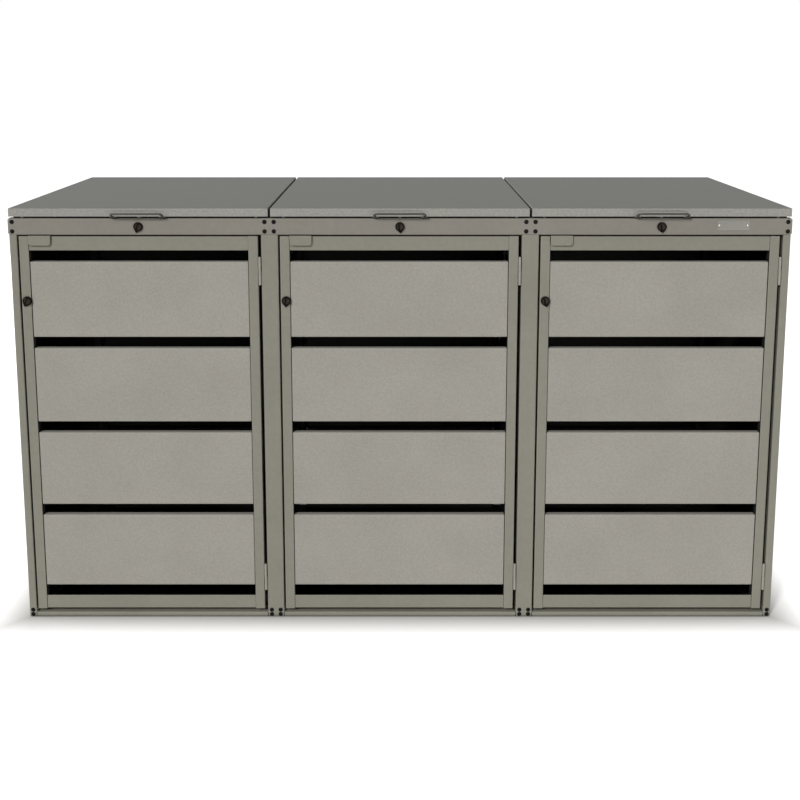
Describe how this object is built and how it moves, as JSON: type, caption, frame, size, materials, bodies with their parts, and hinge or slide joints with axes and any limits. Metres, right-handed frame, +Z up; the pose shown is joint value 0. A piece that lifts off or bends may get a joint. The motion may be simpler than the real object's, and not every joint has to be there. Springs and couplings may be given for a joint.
{
  "type": "bin store",
  "caption": "Low sheet-steel store with bays for wheeled bins side by side, each with a slatted hinged door, a lid with a bow handle, cam locks and a lid stay.",
  "frame": {"origin": "on the ground, at the middle of the overall width and depth", "axes": "+X to the right seen from the front, +Y from the doors to the back wall, +Z up"},
  "size_m": [2.0858, 0.8522, 1.1533],
  "materials": {
    "coated_frame": "powder coat, smooth satin",
    "coated_panels": "powder coat over zinc spangle, fine mottle",
    "steel_bar": "dull steel",
    "zinc_plated": "bright zinc plated",
    "black_bolt": "black, satin",
    "black_plastic": "gloss",
    "grey_rubber": "dull"
  },
  "bodies": {
    "frame": {"front_corner_posts": "coated_frame", "front_inner_post_left": "coated_frame", "front_inner_post_right": "coated_frame", "rear_posts": "coated_frame", "header": "coated_frame", "top_rails": "coated_frame", "front_sills": "coated_frame", "rear_and_side_sills": "coated_frame", "side_wall_left": "coated_panels", "side_wall_right": "coated_panels", "rear_walls": "coated_panels", "partitions": "coated_panels", "frame_bolts": "black_bolt", "frame_nuts": "zinc_plated", "name_plate": "steel_bar", "plate_rivets": "steel_bar", "door_hinge_pins": "zinc_plated", "lid_hinge_pins": "zinc_plated", "lid_lock_housings": "black_plastic", "lid_buffers": "grey_rubber", "stay_pins": "zinc_plated"},
    "lid_1": {"lid_1": "coated_panels", "lid_handle_1": "steel_bar", "lid_hinge_leaves_1": "zinc_plated"},
    "stay_1": {"lid_stay_1": "zinc_plated"},
    "door_1": {"door_frame_1": "coated_panels", "door_panels_1": "coated_panels", "door_pull_tab_1": "coated_panels", "door_hinge_leaves_1": "zinc_plated", "door_lock_housing_1": "black_plastic"},
    "door_lock_1": {"door_lock_cam_1": "zinc_plated"},
    "door_flap_1": {"door_lock_flap_1": "black_plastic"},
    "lid_lock_1": {"lid_lock_cam_1": "zinc_plated"},
    "lid_flap_1": {"lid_lock_flap_1": "black_plastic"},
    "lid_2": {"lid_2": "coated_panels", "lid_handle_2": "steel_bar", "lid_hinge_leaves_2": "zinc_plated"},
    "stay_2": {"lid_stay_2": "zinc_plated"},
    "door_2": {"door_frame_2": "coated_panels", "door_panels_2": "coated_panels", "door_pull_tab_2": "coated_panels", "door_hinge_leaves_2": "zinc_plated", "door_lock_housing_2": "black_plastic"},
    "door_lock_2": {"door_lock_cam_2": "zinc_plated"},
    "door_flap_2": {"door_lock_flap_2": "black_plastic"},
    "lid_lock_2": {"lid_lock_cam_2": "zinc_plated"},
    "lid_flap_2": {"lid_lock_flap_2": "black_plastic"},
    "lid_3": {"lid_3": "coated_panels", "lid_handle_3": "steel_bar", "lid_hinge_leaves_3": "zinc_plated"},
    "stay_3": {"lid_stay_3": "zinc_plated"},
    "door_3": {"door_frame_3": "coated_panels", "door_panels_3": "coated_panels", "door_pull_tab_3": "coated_panels", "door_hinge_leaves_3": "zinc_plated", "door_lock_housing_3": "black_plastic"},
    "door_lock_3": {"door_lock_cam_3": "zinc_plated"},
    "door_flap_3": {"door_lock_flap_3": "black_plastic"},
    "lid_lock_3": {"lid_lock_cam_3": "zinc_plated"},
    "lid_flap_3": {"lid_lock_flap_3": "black_plastic"}
  },
  "joints": [
    {"name": "lid_1_hinge", "type": "hinge", "parent": "frame", "child": "lid_1", "pos_m": [-0.6935, 0.42113, 1.12875], "axis": [-1, 0, 0], "range_deg": [0, 80]},
    {"name": "stay_1_rivet", "type": "hinge", "parent": "lid_1", "child": "stay_1", "pos_m": [-0.35875, 0.12112, 1.1], "axis": [-1, 0, 0], "range_deg": [-40, 0]},
    {"name": "door_1_hinge", "type": "hinge", "parent": "frame", "child": "door_1", "pos_m": [-0.37415, -0.39637, 0.5505], "axis": [0, 0, 1], "range_deg": [0, 110]},
    {"name": "door_1_lock", "type": "hinge", "parent": "door_1", "child": "door_lock_1", "pos_m": [-0.99785, -0.39737, 0.903], "axis": [0, 1, 0], "range_deg": [0, 90]},
    {"name": "door_1_flap", "type": "hinge", "parent": "door_1", "child": "door_flap_1", "pos_m": [-0.99412, -0.40137, 0.91064], "axis": [0, 1, 0], "range_deg": [0, 100]},
    {"name": "lid_1_flap", "type": "hinge", "parent": "frame", "child": "lid_flap_1", "pos_m": [-0.69087, -0.40337, 1.11208], "axis": [0, 1, 0], "range_deg": [0, 100]},
    {"name": "lid_1_lock", "type": "hinge", "parent": "frame", "child": "lid_lock_1", "pos_m": [-0.6935, -0.39937, 1.104], "axis": [0, 1, 0], "range_deg": [0, 90]},
    {"name": "lid_2_hinge", "type": "hinge", "parent": "frame", "child": "lid_2", "pos_m": [0, 0.42113, 1.12875], "axis": [-1, 0, 0], "range_deg": [0, 80]},
    {"name": "stay_2_rivet", "type": "hinge", "parent": "lid_2", "child": "stay_2", "pos_m": [0.33475, 0.12112, 1.1], "axis": [-1, 0, 0], "range_deg": [-40, 0]},
    {"name": "door_2_hinge", "type": "hinge", "parent": "frame", "child": "door_2", "pos_m": [0.31935, -0.39637, 0.5505], "axis": [0, 0, 1], "range_deg": [0, 110]},
    {"name": "door_2_lock", "type": "hinge", "parent": "door_2", "child": "door_lock_2", "pos_m": [-0.30435, -0.39737, 0.903], "axis": [0, 1, 0], "range_deg": [0, 90]},
    {"name": "door_2_flap", "type": "hinge", "parent": "door_2", "child": "door_flap_2", "pos_m": [-0.30346, -0.40137, 0.91145], "axis": [0, 1, 0], "range_deg": [0, 100]},
    {"name": "lid_2_flap", "type": "hinge", "parent": "frame", "child": "lid_flap_2", "pos_m": [-0.00074, -0.40337, 1.11247], "axis": [0, 1, 0], "range_deg": [0, 100]},
    {"name": "lid_2_lock", "type": "hinge", "parent": "frame", "child": "lid_lock_2", "pos_m": [0, -0.39937, 1.104], "axis": [0, 1, 0], "range_deg": [0, 90]},
    {"name": "lid_3_hinge", "type": "hinge", "parent": "frame", "child": "lid_3", "pos_m": [0.6935, 0.42113, 1.12875], "axis": [-1, 0, 0], "range_deg": [0, 80]},
    {"name": "stay_3_rivet", "type": "hinge", "parent": "lid_3", "child": "stay_3", "pos_m": [0.35875, 0.12112, 1.1], "axis": [-1, 0, 0], "range_deg": [-40, 0]},
    {"name": "door_3_hinge", "type": "hinge", "parent": "frame", "child": "door_3", "pos_m": [1.01285, -0.39637, 0.5505], "axis": [0, 0, 1], "range_deg": [0, 110]},
    {"name": "door_3_lock", "type": "hinge", "parent": "door_3", "child": "door_lock_3", "pos_m": [0.38915, -0.39737, 0.903], "axis": [0, 1, 0], "range_deg": [0, 90]},
    {"name": "door_3_flap", "type": "hinge", "parent": "door_3", "child": "door_flap_3", "pos_m": [0.38709, -0.40137, 0.91125], "axis": [0, 1, 0], "range_deg": [0, 100]},
    {"name": "lid_3_flap", "type": "hinge", "parent": "frame", "child": "lid_flap_3", "pos_m": [0.69232, -0.40337, 1.11242], "axis": [0, 1, 0], "range_deg": [0, 100]},
    {"name": "lid_3_lock", "type": "hinge", "parent": "frame", "child": "lid_lock_3", "pos_m": [0.6935, -0.39937, 1.104], "axis": [0, 1, 0], "range_deg": [0, 90]}
  ],
  "couplings": [
    {"joint": "stay_1_rivet", "follows": "lid_1_hinge", "ratio": -0.5},
    {"joint": "stay_2_rivet", "follows": "lid_2_hinge", "ratio": -0.5},
    {"joint": "stay_3_rivet", "follows": "lid_3_hinge", "ratio": -0.5}
  ]
}
